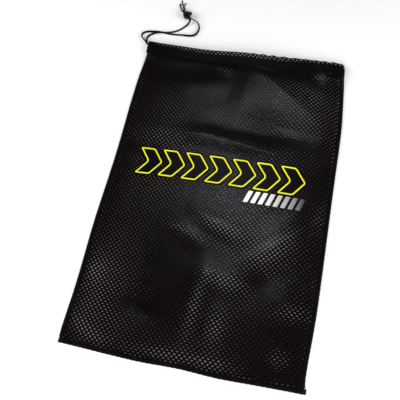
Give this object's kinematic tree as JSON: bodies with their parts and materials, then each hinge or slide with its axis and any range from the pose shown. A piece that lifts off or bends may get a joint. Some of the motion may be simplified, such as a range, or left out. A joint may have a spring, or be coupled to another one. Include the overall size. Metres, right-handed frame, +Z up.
{
  "type": "mesh dive gear bag",
  "caption": "Flat drawstring bag of black polyester net with a hem tunnel round the mouth, a flat drawcord and a ball cord lock with a spring button, lying on its back.",
  "frame": {"origin": "on the ground, under the middle of the lying bag's box without its free cord", "axes": "+X across the bag, +Y along the bag towards its mouth, +Z up"},
  "size_m": [0.517, 0.8887, 0.0261],
  "materials": {
    "net": "black knitted polyester net with round holes",
    "seam": "black net doubled and overlocked, matte",
    "hem": "black net folded double and stitched",
    "cord": "flat braided black polyester cord",
    "lock": "moulded black plastic, satin",
    "print_yellow": "heat-pressed yellow film",
    "print_dark": "heat-pressed black film",
    "print_grey": "heat-pressed film that fades from white to dark grey"
  },
  "bodies": {
    "bag": {"back_panel": "net", "front_panel": "net", "side_seam_left": "seam", "side_seam_right": "seam", "bottom_seam": "seam", "hem_casing": "hem", "drawcord_loop": "cord", "drawcord_strand_a": "cord", "drawcord_strand_b": "cord", "lock_body": "lock", "cord_knot": "cord", "tail_left": "cord", "tail_right": "cord"},
    "lock_button": {"lock_plunger": "lock"}
  },
  "joints": [
    {"name": "button_press", "type": "slide", "parent": "bag", "child": "lock_button", "axis": [-0.7793, -0.6266, 0], "range_m": [0, 0.003], "stiffness_N_per_m": 600, "springref_m": -0.005}
  ]
}
